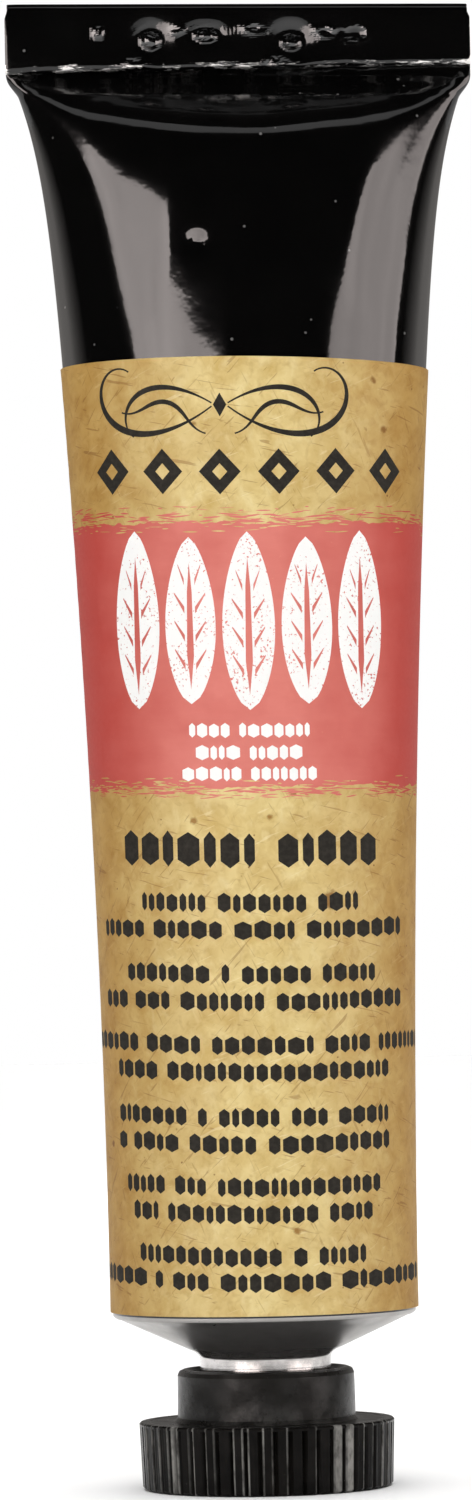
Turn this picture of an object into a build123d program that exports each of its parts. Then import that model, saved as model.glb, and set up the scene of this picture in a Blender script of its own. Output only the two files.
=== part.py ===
"""A collapsible aluminium ink tube, standing on its screw cap, in millimetres.

+Z runs up the tube's axis from the face of the cap that it stands on. The front, where the
folded end shows its flap, faces -Y. The cap is the fixed piece; the tube screws up out of it.
"""

import os
from math import cos, pi, radians, sin, tan

from build123d import *

# Collapsible tube: a standard 19 mm body that holds 20 ml
TUBE_RADIUS = 9.5
WALL = 0.12
HEIGHT = 93.4
SHOULDER_Z = 10.85
SHOULDER_ANGLE = 24.5
SHOULDER_WALL = 0.8
SHOULDER_INSET = 0.05

# How the round body spreads into its flat end
PINCH_Z = 88.9
PINCH_LENGTH = 4.6
SPREAD, SPREAD_POWER = 3.3, 1.9
FLARE, FLARE_POWER = 1.7, 17
LENS_POWER = 1.6
LENS_START_Z = 45.0

# Rolled end: three double layers, open at the two sides
FOLD_HALF_WIDTH = 14.7
FLAT_Z = 87.9
FOLD_FLAP_Z = 89.2
SEAL_THICKNESS = 0.08
LAYER = 2 * WALL + SEAL_THICKNESS
LAYER_GAP = 0.03
TUCK_END_Z = 92.3

# Nozzle with its right-hand thread
NECK_RADIUS = 4.1
NECK_MOUTH_Z = 1.96
ORIFICE_RADIUS = 2.6
THREAD_PITCH = 1.5
THREAD_DEPTH = 0.4
THREAD_ROOT_WIDTH, THREAD_CREST_WIDTH = 0.75, 0.35
THREAD_CLEARANCE = 0.14
THREAD_SINK = 0.1
NECK_THREAD_Z = (3.0, 6.6)
CAP_THREAD_Z = (2.9, 6.9)

# Screw cap: a plain collar over a grip flange with straight grooves
CAP_HEIGHT = 7.42
COLLAR_RADIUS = 5.53
FLANGE_HEIGHT = 4.2
FLANGE_TOP_RADIUS, FLANGE_FOOT_RADIUS = 7.98, 7.82
GROOVES = 54
GROOVE_DEPTH = 0.22
GROOVE_SHARE = 0.4
RIM_HEIGHT = 0.22
FLOOR_Z = 1.3
FOOT_RECESS_RADIUS, FOOT_RECESS_DEPTH = 6.2, 0.25
GATE_MARK_RADIUS = 0.9
LINER_RADIUS, LINER_THICKNESS = 4.5, 0.6
TOUCH_GAP = 0.02

# Paper label round the body
LABEL_Z = (11.1, 70.13)
LABEL_THICKNESS = 0.1
LABEL_GAP = 0.05

# Ink inside
INK_GAP = 0.15
INK_LEVEL_Z = 83.0

SECTION_POINTS = 32
LOFT_STEP = 8.0


def half_width(z):
    """Half the body's width at a height: it spreads slowly, then flares at the pinched end."""
    t = max(0.0, z - SHOULDER_Z) / (PINCH_Z - SHOULDER_Z)
    return TUBE_RADIUS + SPREAD * t**SPREAD_POWER + FLARE * t**FLARE_POWER


def roundness(z):
    """The section's superellipse power: 2 is an ellipse, less is a lens with pointed sides."""
    t = max(0.0, z - LENS_START_Z) / (PINCH_Z - LENS_START_Z)
    return 2.0 - (2.0 - LENS_POWER) * t * t


def section_point(a, b, power, angle):
    c, s = cos(angle), sin(angle)
    x = a * abs(c) ** (2 / power) * (1 if c >= 0 else -1)
    y = b * abs(s) ** (2 / power) * (1 if s >= 0 else -1)
    return x, y


def girth(a, b, power, steps=64):
    """A quarter of the section's length round, because a drawn metal wall does not stretch."""
    points = [section_point(a, b, power, pi / 2 * i / steps) for i in range(steps + 1)]
    return sum(
        ((x2 - x1) ** 2 + (y2 - y1) ** 2) ** 0.5
        for (x1, y1), (x2, y2) in zip(points, points[1:])
    )


def unpinched_depth(z):
    """The half depth that keeps the section's length round equal to the round end's."""
    a, power = half_width(z), roundness(z)
    low, high = 0.0, TUBE_RADIUS
    for _ in range(40):
        b = (low + high) / 2
        if girth(a, b, power) < pi / 2 * TUBE_RADIUS:
            low = b
        else:
            high = b
    return (low + high) / 2


def half_depth(z):
    """Half the body's depth: the full section, closing in a soft S to two flat walls."""
    flat = LAYER / 2
    s = min(1.0, max(0.0, (PINCH_Z - z) / PINCH_LENGTH))
    return flat + (unpinched_depth(z) - flat) * s * s * (3 - 2 * s)


def stations(z_low, z_high):
    """Heights of the loft's sections: even below the pinch and close together in it."""
    knee = PINCH_Z - PINCH_LENGTH - 1.0
    top = min(z_high, knee)
    count = max(2, round((top - z_low) / LOFT_STEP))
    heights = [z_low + (top - z_low) * i / count for i in range(count + 1)]
    if z_high > knee:
        close = max(2, round((z_high - knee) / 0.8))
        heights += [knee + (z_high - knee) * (i + 1) / close for i in range(close)]
    return heights


def body_loft(z_low, z_high, grow):
    """The body's solid between two heights, with its skin moved outwards by grow."""
    wires = []
    for z in stations(z_low, z_high):
        a = half_width(z) + grow
        b = max(half_depth(z) + grow, SEAL_THICKNESS / 2 + TOUCH_GAP)
        power = roundness(z)
        turns = [2 * pi * i / SECTION_POINTS for i in range(SECTION_POINTS)]
        points = [(*section_point(a, b, power, turn), z) for turn in turns]
        wires.append(Wire([Edge.make_spline(points, periodic=True)]))
    return Solid.make_loft(wires)


def revolved(points):
    """A solid of revolution about Z from (radius, height) corners."""
    face = make_face(Polyline(*[(r, 0, z) for r, z in points], close=True))
    return revolve(face, Axis.Z, 360)


def thread(z_start, z_end, core, tip, phase_z):
    """A right-hand ridge from the core radius to the tip radius, its centre line on phase_z."""
    sink = THREAD_SINK if tip > core else -THREAD_SINK
    slope = (THREAD_ROOT_WIDTH - THREAD_CREST_WIDTH) / 2 / THREAD_DEPTH
    root = THREAD_ROOT_WIDTH / 2 + slope * THREAD_SINK
    crest = THREAD_CREST_WIDTH / 2
    helix = Edge.make_helix(THREAD_PITCH, z_end - z_start, core)
    ridge = Polyline(
        (core - sink, 0, -root),
        (tip, 0, -crest),
        (tip, 0, crest),
        (core - sink, 0, root),
        close=True,
    )
    solid = sweep(make_face(ridge), path=helix, is_frenet=True)
    turn = 360 * (z_start - phase_z) / THREAD_PITCH
    return Pos(0, 0, z_start) * Rot(0, 0, turn) * solid


def shoulder_and_neck():
    """The thick shoulder and the threaded nozzle, bored through."""
    rise = tan(radians(SHOULDER_ANGLE))
    edge = TUBE_RADIUS - SHOULDER_INSET
    edge_z = SHOULDER_Z - SHOULDER_INSET
    root_z = edge_z - rise * (edge - NECK_RADIUS)
    inner_z = edge_z + SHOULDER_WALL
    core = revolved(
        [
            (ORIFICE_RADIUS, NECK_MOUTH_Z),
            (NECK_RADIUS - 0.25, NECK_MOUTH_Z),
            (NECK_RADIUS, NECK_MOUTH_Z + 0.25),
            (NECK_RADIUS, root_z - 0.45),
            (NECK_RADIUS + 0.12, root_z - 0.12),
            (NECK_RADIUS + 0.45, root_z + rise * 0.45),
            (edge, edge_z),
            (edge, inner_z),
            (ORIFICE_RADIUS, inner_z - rise * (edge - ORIFICE_RADIUS)),
        ]
    )
    return core + thread(
        *NECK_THREAD_Z, NECK_RADIUS, NECK_RADIUS + THREAD_DEPTH, NECK_THREAD_Z[0]
    )


def nozzle_ink():
    """The ink in the orifice and under the shoulder, clear of the metal."""
    rise = tan(radians(SHOULDER_ANGLE))
    low = ORIFICE_RADIUS - INK_GAP
    high = TUBE_RADIUS - WALL - INK_GAP - TOUCH_GAP
    top = SHOULDER_Z + SHOULDER_WALL + INK_GAP
    return revolved(
        [
            (0, NECK_MOUTH_Z + 0.2),
            (low, NECK_MOUTH_Z + 0.2),
            (low, top - rise * (high - low)),
            (high, top),
            (high, top + 0.5),
            (0, top + 0.5),
        ]
    )


def rolled_end():
    """The flattened end, rolled over twice to the front: a strip of double wall."""
    step = LAYER + LAYER_GAP
    top_z = HEIGHT - step - LAYER / 2
    low_z = FOLD_FLAP_Z + step / 2 + LAYER / 2

    def layer(index, z_low, z_high):
        y = -index * step
        return Pos(y, (z_low + z_high) / 2) * Rectangle(LAYER, z_high - z_low)

    def turn(y, z, radius, upward):
        ring = Circle(radius + LAYER / 2) - Circle(radius - LAYER / 2)
        side = 2 * radius if upward else -2 * radius
        return Pos(y, z) * (ring & Pos(0, side) * Rectangle(8 * radius, 4 * radius))

    # The sketch's x is the body's Y, and its y is the body's Z.
    profile = layer(0, FLAT_Z, top_z)
    profile += turn(-step, top_z, step, True)
    profile += layer(2, low_z, top_z)
    profile += turn(-1.5 * step, low_z, step / 2, False)
    profile += layer(1, low_z, TUCK_END_Z)
    across = Plane(origin=(0, 0, 0), x_dir=(0, 1, 0), z_dir=(1, 0, 0)) * profile
    return extrude(across, amount=FOLD_HALF_WIDTH, both=True)


def make_tube_body():
    shell = body_loft(SHOULDER_Z, PINCH_Z, 0) + rolled_end()
    shell = shell - body_loft(SHOULDER_Z - 1, PINCH_Z - 0.1, -WALL)
    slot_low = PINCH_Z - 0.3
    slot_high = HEIGHT - 2 * LAYER
    slot = Box(
        2 * (FOLD_HALF_WIDTH - 0.4),
        SEAL_THICKNESS + TOUCH_GAP,
        slot_high - slot_low,
        align=(Align.CENTER, Align.CENTER, Align.MIN),
    )
    return shell - Pos(0, 0, slot_low) * slot + shoulder_and_neck()


def make_end_seal():
    """The latex band that the flattened walls are pressed on to."""
    low = PINCH_Z + 0.3
    high = HEIGHT - 2 * LAYER - TOUCH_GAP
    band = Box(
        2 * (FOLD_HALF_WIDTH - 0.5),
        SEAL_THICKNESS,
        high - low,
        align=(Align.CENTER, Align.CENTER, Align.MIN),
    )
    return Pos(0, 0, low) * band


def make_ink():
    low = SHOULDER_Z + SHOULDER_WALL + INK_GAP + TOUCH_GAP
    return body_loft(low, INK_LEVEL_Z, -WALL - INK_GAP) + nozzle_ink()


def make_label():
    outer = body_loft(*LABEL_Z, LABEL_GAP + LABEL_THICKNESS)
    inner = body_loft(LABEL_Z[0], LABEL_Z[1], LABEL_GAP)
    return outer - inner


def grooved_outline(radius, z):
    """A circle with evenly spaced straight-sided grooves, as one closed wire."""
    pitch = 2 * pi / GROOVES
    half = pitch * GROOVE_SHARE / 2
    edges = []

    def at(r, angle):
        return r * cos(angle), r * sin(angle), z

    for i in range(GROOVES):
        low, high = i * pitch + half, (i + 1) * pitch - half
        middle, next_root = (low + high) / 2, (i + 1) * pitch
        edges.append(ThreePointArc(at(radius, low), at(radius, middle), at(radius, high)))
        edges.append(Line(at(radius, high), at(radius - GROOVE_DEPTH, next_root)))
        edges.append(
            Line(at(radius - GROOVE_DEPTH, next_root), at(radius, next_root + half))
        )
    return Wire(edges)


def make_cap():
    draft = (FLANGE_TOP_RADIUS - FLANGE_FOOT_RADIUS) / FLANGE_HEIGHT
    rim_z = FLANGE_HEIGHT - RIM_HEIGHT
    rim_radius = FLANGE_FOOT_RADIUS + draft * rim_z
    grip = Solid.make_loft(
        [grooved_outline(FLANGE_FOOT_RADIUS, 0), grooved_outline(rim_radius, rim_z)],
        ruled=True,
    )
    foot_round = 0.3
    trimmer = revolved(
        [
            (0, 0),
            (FLANGE_FOOT_RADIUS - foot_round, 0),
            (FLANGE_FOOT_RADIUS - 0.1, 0.1),
            (FLANGE_FOOT_RADIUS + 0.2, 0.1 + foot_round),
            (FLANGE_FOOT_RADIUS + 1, FLANGE_HEIGHT),
            (0, FLANGE_HEIGHT),
        ]
    )
    upper = revolved(
        [
            (0, rim_z),
            (rim_radius, rim_z),
            (FLANGE_TOP_RADIUS, FLANGE_HEIGHT - 0.1),
            (FLANGE_TOP_RADIUS - 0.1, FLANGE_HEIGHT),
            (COLLAR_RADIUS + 0.25, FLANGE_HEIGHT),
            (COLLAR_RADIUS + 0.04, FLANGE_HEIGHT + 0.25),
            (COLLAR_RADIUS, CAP_HEIGHT - 0.36),
            (COLLAR_RADIUS - 0.11, CAP_HEIGHT - 0.11),
            (COLLAR_RADIUS - 0.36, CAP_HEIGHT),
            (0, CAP_HEIGHT),
        ]
    )
    tip = NECK_RADIUS + THREAD_CLEARANCE
    wall = NECK_RADIUS + THREAD_DEPTH + THREAD_CLEARANCE
    hollow = revolved(
        [
            (0, FLOOR_Z),
            (wall, FLOOR_Z),
            (wall, CAP_HEIGHT - 0.3),
            (wall + 0.3, CAP_HEIGHT + 0.01),
            (0, CAP_HEIGHT + 0.01),
        ]
    )
    recess = revolved(
        [
            (GATE_MARK_RADIUS, -1),
            (FOOT_RECESS_RADIUS, -1),
            (FOOT_RECESS_RADIUS, 0),
            (FOOT_RECESS_RADIUS - FOOT_RECESS_DEPTH, FOOT_RECESS_DEPTH),
            (GATE_MARK_RADIUS, FOOT_RECESS_DEPTH),
        ]
    )
    gate_mark_top = Cylinder(
        GATE_MARK_RADIUS + 0.01,
        0.1,
        align=(Align.CENTER, Align.CENTER, Align.MIN),
    )
    ridge = thread(*CAP_THREAD_Z, wall, tip, NECK_THREAD_Z[0] + THREAD_PITCH / 2)
    return (grip & trimmer) + upper - hollow - recess - gate_mark_top + ridge


def make_cap_liner():
    disc = Cylinder(
        LINER_RADIUS,
        LINER_THICKNESS,
        align=(Align.CENTER, Align.CENTER, Align.MIN),
    )
    return Pos(0, 0, FLOOR_Z + TOUCH_GAP) * disc


def main():
    os.makedirs("parts", exist_ok=True)
    pieces = {
        "cap": make_cap(),
        "cap_liner": make_cap_liner(),
        "tube_body": make_tube_body(),
        "end_seal": make_end_seal(),
        "ink_charge": make_ink(),
        "label": make_label(),
    }
    for name, shape in pieces.items():
        export_step(shape, f"parts/{name}.step")


main()
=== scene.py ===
"""The looks of a collapsible aluminium ink tube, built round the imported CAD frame.

Lengths in this script are millimetres until a mesh, light or camera is made. The shell and the
paper label repeat the CAD's formulas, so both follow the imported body. The cap, its liner, the
end seal and the ink are the CAD's own meshes with procedural materials.
"""

import random
from math import atan, cos, pi, radians, sin, tan

import bpy
import numpy as np
from mathutils import Matrix, Vector, noise
from mathutils.geometry import delaunay_2d_cdt


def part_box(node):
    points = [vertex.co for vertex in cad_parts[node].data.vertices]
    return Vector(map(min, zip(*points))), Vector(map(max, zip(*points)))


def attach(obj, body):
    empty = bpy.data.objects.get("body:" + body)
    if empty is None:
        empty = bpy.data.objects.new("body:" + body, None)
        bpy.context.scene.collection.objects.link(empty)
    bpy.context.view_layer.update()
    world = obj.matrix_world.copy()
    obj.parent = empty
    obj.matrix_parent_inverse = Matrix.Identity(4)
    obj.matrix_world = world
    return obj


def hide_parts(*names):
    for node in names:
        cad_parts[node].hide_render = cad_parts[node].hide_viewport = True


MM = 0.001

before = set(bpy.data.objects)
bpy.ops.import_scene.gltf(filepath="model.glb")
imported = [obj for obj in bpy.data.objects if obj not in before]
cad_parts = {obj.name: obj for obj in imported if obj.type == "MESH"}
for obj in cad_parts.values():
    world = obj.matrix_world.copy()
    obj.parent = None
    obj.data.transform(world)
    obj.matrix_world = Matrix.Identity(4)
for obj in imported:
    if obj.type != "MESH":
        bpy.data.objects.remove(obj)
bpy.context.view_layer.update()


def node_box(name):
    """A CAD node's lowest and highest corners, in millimetres."""
    low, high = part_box(name)
    return np.array(low) / MM, np.array(high) / MM


TUBE_LOW, TUBE_HIGH = node_box("tube_body")
LABEL_LOW, LABEL_HIGH = node_box("label")

# The tube, with the CAD's own formulas for its body
TUBE_RADIUS = TUBE_HIGH[1]
HEIGHT = TUBE_HIGH[2]
FOLD_HALF_WIDTH = TUBE_HIGH[0]
WALL = 0.12
SHOULDER_Z = 10.85
SHOULDER_SLOPE = tan(radians(24.5))
SHOULDER_WALL = 0.8
SHOULDER_EDGE = 0.05
SHOULDER_ROUND = 0.3
PINCH_Z = 88.9
SPREAD, SPREAD_POWER = 3.3, 1.9
FLARE, FLARE_POWER = 1.7, 17
LENS_POWER, LENS_START_Z = 1.6, 45.0
FOLD_BLEND_Z, FOLD_BLEND = 87.4, 1.6
# The superellipse power of the flat end's section
FLAT_POWER = 20

# Nozzle and thread
NECK_RADIUS = 4.1
NECK_FILLET = 0.5
MOUTH_Z = TUBE_LOW[2]
ORIFICE_RADIUS = 2.6
THREAD_PITCH, THREAD_DEPTH = 1.5, 0.4
THREAD_ROOT, THREAD_CREST = 0.75, 0.35
THREAD_LOW, THREAD_HIGH = 3.0, 6.6

# Rolled end: a double wall folded over twice to the front
LAYER = 0.32
LAYER_STEP = LAYER + 0.03
FLAP_Z = 89.2
TUCK_END_Z = 92.3
FLAP_TAPER = 0.02
CORNER_CUT = 0.15

# The crease under the rolled end, lowest in the middle like a smile
CREASE_Z = 85.3
CREASE_RISE, CREASE_CURVE = 2.1, 1.3
CREASE_CORNER, CREASE_CORNER_CURVE = 2.4, 8
CREASE_ROUND = 0.42
CREASE_WAVE = 0.2
CREASE_MIN_LENGTH = 0.5

# The hand-rolled end sits a little crooked on the body: slope across the width, by height
CROOKED_Z = (SHOULDER_Z, 12.0, LABEL_HIGH[2], HEIGHT)
CROOKED_SLOPE = (0.0, -0.0017, -0.0227, -0.0192)

# Points in each ring of the shell, and the two finishes in its material slots
COLUMNS = 384
METAL, ENAMEL = 0, 1

# Label: its middle lies a little off the tube, and lengths round it run from the front middle
PAPER = 0.1
LABEL_MIDDLE_GAP = 0.1
OVERLAP = 1.3
SEAM_S = 18.0
SEAM_LIFT = 0.12
GIRTH = 2 * pi * (TUBE_RADIUS + LABEL_MIDDLE_GAP)

# Print: its slope and bow across the front, and the heights of its red band and its leaves
PRINT_SLOPE = -0.0166
SMILE, SMILE_REACH = 0.43, 15.0
BAND = (43.35, 59.7)
LEAF_FOOT = 48.15

# Grip grooves round the cap, as in the CAD, and where the ridges' faces get a painted highlight,
# pale paint where they face the lights: azimuth from the front and reach to each side, in degrees
GROOVES = 54
HIGHLIGHT_AZIMUTHS = ((-55, 16), (34, 13))


def smoothstep(t):
    """0 below 0 and 1 above 1, with a soft step between."""
    t = np.clip(t, 0.0, 1.0)
    return t * t * (3 - 2 * t)


def softplus(t, width):
    """Zero below zero and t above it, with a round bend of about that width."""
    return width * np.logaddexp(0.0, np.asarray(t) / width)


# ---- body formulas


def body_share(z):
    """How far up the body a height is, from 0 at the shoulder to 1 where it is flat."""
    return np.clip((z - SHOULDER_Z) / (PINCH_Z - SHOULDER_Z), 0.0, 1.0)


def half_width(z):
    """Half the body's width: a slow spread, then a flare into the flat end."""
    t = body_share(z)
    width = TUBE_RADIUS + SPREAD * t**SPREAD_POWER + FLARE * t**FLARE_POWER
    return width + (FOLD_HALF_WIDTH - width) * smoothstep((z - FOLD_BLEND_Z) / FOLD_BLEND)


def roundness(z):
    """The section's superellipse power: 2 is an ellipse, less is a lens with pointed sides."""
    t = np.clip((z - LENS_START_Z) / (PINCH_Z - LENS_START_Z), 0.0, 1.0)
    return 2.0 - (2.0 - LENS_POWER) * t * t


def full_depth(z):
    """The half depth that keeps the wall's length round equal to the round end's."""
    turn = np.linspace(0, pi / 2, 97)
    a, power = half_width(z), roundness(z)
    low, high = 0.0, TUBE_RADIUS
    for _ in range(30):
        b = (low + high) / 2
        x, y = a * np.cos(turn) ** (2 / power), b * np.sin(turn) ** (2 / power)
        if np.hypot(np.diff(x), np.diff(y)).sum() < pi / 2 * TUBE_RADIUS:
            low = b
        else:
            high = b
    return b


DEPTH_Z = np.linspace(SHOULDER_Z, PINCH_Z, 160)
DEPTH = np.array([full_depth(z) for z in DEPTH_Z])


def bulge(across, power):
    """A superellipse's depth, from 0 at the sides to 1 in the middle."""
    return np.maximum(0.0, 1 - np.abs(across) ** power) ** (1 / power)


def crooked(points):
    """Tilts what lies at each height a little, as the hand-rolled end does."""
    points[..., 2] += np.interp(points[..., 2], CROOKED_Z, CROOKED_SLOPE) * points[..., 0]
    return points


# ---- node helpers


def add(tree, kind, inputs=None, **settings):
    """A shader node. Inputs that are sockets are linked, and other inputs are set."""
    node = tree.nodes.new("ShaderNode" + kind)
    for key, value in settings.items():
        setattr(node, key, value)
    for key, value in (inputs or {}).items():
        if isinstance(value, bpy.types.NodeSocket):
            tree.links.new(value, node.inputs[key])
        else:
            node.inputs[key].default_value = value
    return node


def after(socket, kind, inputs, **settings):
    """The first output of a new node in the socket's tree."""
    return add(socket.id_data, kind, inputs, **settings).outputs[0]


def new_material(name, **uniform):
    """A principled material, with its uniform values set on the shader itself."""
    material = bpy.data.materials.new(name)
    material.use_nodes = True
    shader = material.node_tree.nodes["Principled BSDF"]
    for key, value in uniform.items():
        shader.inputs[key.replace("_", " ")].default_value = value
    return material, material.node_tree


def varied(material, **sockets):
    """The material with what varies linked to its shader."""
    tree = material.node_tree
    for key, value in sockets.items():
        tree.links.new(value, tree.nodes["Principled BSDF"].inputs[key.replace("_", " ")])
    return material


def squeezed(vector, stretch):
    """A vector multiplied along each axis."""
    return after(vector, "VectorMath", {0: vector, 1: stretch}, operation="MULTIPLY")


def object_mm(tree, stretch=(1, 1, 1)):
    """Object coordinates in millimetres, squeezed along each axis by stretch."""
    return squeezed(add(tree, "TexCoord").outputs["Object"], [s / MM for s in stretch])


def sheet_mm(tree, stretch=(1, 1, 1), angle=0.0):
    """The label's own flat coordinates in millimetres, turned and then squeezed."""
    uv = add(tree, "UVMap", uv_map="Sheet").outputs[0]
    inputs = {"Vector": uv, "Angle": radians(angle)}
    return squeezed(after(uv, "VectorRotate", inputs, rotation_type="Z_AXIS"), stretch)


def xyz(vector):
    """The three numbers of a vector, as sockets."""
    return add(vector.id_data, "SeparateXYZ", {0: vector}).outputs


def axis_radius(place):
    """The distance from the tube's axis."""
    x, y, _ = xyz(place)
    across = after(place, "CombineXYZ", {0: x, 1: y})
    length = add(place.id_data, "VectorMath", {0: across}, operation="LENGTH")
    return length.outputs["Value"]


def noise_at(vector, scale, detail=2.0, rough=0.5, warp=0.0):
    """Soft noise, mostly between 0.3 and 0.7."""
    inputs = {"Vector": vector, "Scale": scale, "Detail": detail}
    inputs.update({"Roughness": rough, "Distortion": warp})
    return after(vector, "TexNoise", inputs)


def cells(vector, scale, output="Distance"):
    """Scattered cells: the distance from each one's middle, or its own random colour."""
    return add(vector.id_data, "TexVoronoi", {"Vector": vector, "Scale": scale}).outputs[output]


def remap(value, low, high, to_low=0.0, to_high=1.0):
    """A value's stretch from low to high, laid on the one from to_low to to_high."""
    inputs = {0: value, 1: low, 2: high, 3: to_low, 4: to_high}
    return after(value, "MapRange", inputs, clamp=True)


def math_node(operation, a, b=0.0):
    return after(a, "Math", {0: a, 1: b}, operation=operation)


def times(a, b):
    return math_node("MULTIPLY", a, b)


def apart(a, b):
    """How far apart two numbers are."""
    return math_node("ABSOLUTE", math_node("SUBTRACT", a, b))


def mix_colour(share, a, b, blend="MIX"):
    """Two colours mixed. Each is a socket or three numbers."""
    a, b = [c if isinstance(c, bpy.types.NodeSocket) else (*c, 1.0) for c in (a, b)]
    mix = add(share.id_data, "Mix", {0: share, 6: a, 7: b}, data_type="RGBA", blend_type=blend)
    return mix.outputs[2]


def mix_number(share, a, b):
    return after(share, "Mix", {0: share, 2: a, 3: b})


def bump(height, distance, strength=1.0, normal=None):
    """A normal for a height from 0 to 1, over a distance in millimetres."""
    inputs = {"Height": height, "Distance": distance * MM, "Strength": strength}
    if normal is not None:
        inputs["Normal"] = normal
    return after(height, "Bump", inputs)


# ---- materials


def enamel_material():
    """Glossy black enamel that has cracked off the metal along the sharpest folds."""
    material, tree = new_material("black_enamel")
    place = object_mm(tree)
    wear = add(tree, "Attribute", attribute_name="wear").outputs["Fac"]
    pressed = add(tree, "Attribute", attribute_name="pressed").outputs["Fac"]
    patches = noise_at(object_mm(tree, (0.4, 1, 2)), 1.9, 4, 0.65)
    bare = remap(math_node("ADD", wear, patches), 1.02, 1.1)
    specks = remap(cells(place, 0.6), 0.045, 0.065, 1.0, 0.0)
    dust = times(specks, remap(cells(place, 0.6, "Color"), 0.45, 0.5))
    shade = noise_at(place, 0.35, 3)
    black = mix_colour(shade, (0.0008, 0.0008, 0.0008), (0.0025, 0.0023, 0.0022))
    dusty = mix_colour(times(dust, 0.35), black, (0.35, 0.34, 0.33))
    handled = remap(xyz(place)[2], 82.0, 84.5, 0.09, 0.125)
    smear = remap(noise_at(place, 0.22, 4, 0.6), 0.35, 0.75, 0.05, handled)
    orange_peel = bump(noise_at(place, 1.1, 2), 0.02, 0.25)
    edge = bump(bare, 0.02, 0.6, orange_peel)
    crinkle = noise_at(object_mm(tree, (1, 0.2, 1.3)), 0.46, 0, 0.4, 1.3)
    return varied(
        material,
        Base_Color=mix_colour(bare, dusty, (0.72, 0.70, 0.68)),
        Metallic=bare,
        Roughness=mix_number(bare, smear, 0.3),
        Specular_IOR_Level=remap(pressed, 0, 0.6, 0.5, 1.0),
        Normal=bump(times(pressed, crinkle), 0.34, 1.0, edge),
    )


def bare_metal_material():
    """Extruded aluminium with fine turning lines round the axis, paler and smoother on the
    nozzle."""
    material, tree = new_material("bare_aluminium", Metallic=0.95)
    place = object_mm(tree)
    radius = axis_radius(place)
    past_neck = remap(radius, 4.5, 5.0)
    ring_place = after(place, "CombineXYZ", {0: radius, 1: xyz(place)[2]})
    stains = noise_at(place, 0.55, 4, 0.6)
    tone = mix_colour(past_neck, (0.63, 0.61, 0.60), (0.36, 0.35, 0.34))
    colour = mix_colour(remap(stains, 0.4, 0.7), tone, (0.31, 0.30, 0.29))
    specks = remap(cells(place, 1.3), 0.06, 0.09, 0.5, 0.0)
    rough = remap(stains, 0.3, 0.75, 0.27, 0.38)
    polish = remap(radius, 4.5, 5.0, 0.14, 0.0)
    return varied(
        material,
        Base_Color=mix_colour(specks, colour, (0.1, 0.09, 0.08)),
        Roughness=math_node("SUBTRACT", rough, polish),
        Normal=bump(noise_at(ring_place, 9.0, 3, 0.7), 0.012, 0.5),
    )


def printed_material(name, colour_of, specular=0.2, rough=0.5):
    """The paper's fine tooth and uneven sheen, under whichever colour is printed on it."""
    material, tree = new_material(name, Specular_IOR_Level=specular)
    grain = noise_at(sheet_mm(tree), 3.2, 4, 0.65)
    return varied(
        material,
        Base_Color=colour_of(tree),
        Roughness=remap(grain, 0.3, 0.7, rough, rough + 0.12),
        Normal=bump(grain, 0.02, 0.35),
    )


def painted_side_shade(tree, colour, dark):
    """Painted shade on the printed colour: unchanged in the middle of the label's front and back,
    and multiplied by dark towards the sides between them, where the front light falls off."""
    turn = math_node("DIVIDE", xyz(sheet_mm(tree))[0], TUBE_RADIUS)
    facing = math_node("ABSOLUTE", math_node("COSINE", turn))
    uneven = remap(noise_at(sheet_mm(tree), 0.3, 3), 0.3, 0.7, -0.08, 0.08)
    side = remap(math_node("ADD", facing, uneven), 0.99, 0.42)
    return mix_colour(math_node("POWER", side, 0.75), colour, dark, "MULTIPLY")


def kraft_colour(tree):
    """Unbleached kraft: cloudy gold, with loose curved fibres, flecks and a few brown spots, under
    painted shade towards the tube's sides.
    """
    flat = sheet_mm(tree)
    cloud = remap(noise_at(flat, 0.45, 4, 0.6, 0.4), 0.38, 0.7)
    colour = mix_colour(cloud, (0.76, 0.60, 0.265), (0.60, 0.415, 0.135))
    blot = remap(noise_at(flat, 1.4, 4, 0.6, 0.8), 0.5, 0.72, 0, 0.45)
    colour = mix_colour(blot, colour, (0.47, 0.29, 0.08))
    patches = noise_at(sheet_mm(tree, (1.3, 0.9, 1)), 0.9, 4, 0.6, 0.5)
    pale = remap(patches, 0.52, 0.75, 0, 0.5)
    colour = mix_colour(pale, colour, (0.84, 0.72, 0.39))
    for angle, tone, strength in (
        (12, (0.33, 0.17, 0.045), 0.55),
        (64, (0.36, 0.20, 0.05), 0.4),
        (133, (0.31, 0.16, 0.04), 0.5),
        (158, (0.90, 0.79, 0.48), 0.35),
    ):
        strands = noise_at(sheet_mm(tree, (0.42, 4.6, 1), angle), 1.0, 1, 0.4, 1.1)
        fibre = remap(strands, 0.70, 0.745, 0.0, strength)
        colour = mix_colour(fibre, colour, tone)
    ragged = times(noise_at(flat, 2.6, 3), 0.14)
    for scale, size, tone in (
        (1.0, 0.08, (0.24, 0.11, 0.025)),
        (0.36, 0.10, (0.30, 0.15, 0.03)),
        (0.16, 0.11, (0.27, 0.13, 0.025)),
    ):
        edge = math_node("ADD", cells(flat, scale), ragged)
        seen = remap(cells(flat, scale, "Color"), 0.5, 0.52)
        spot = remap(edge, size + 0.02, size + 0.07, 0.92, 0.0)
        colour = mix_colour(times(seen, spot), colour, tone)
    # Painted shade: the kraft is multiplied darker towards the tube's sides
    return painted_side_shade(tree, colour, (0.61, 0.46, 0.27))


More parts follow.
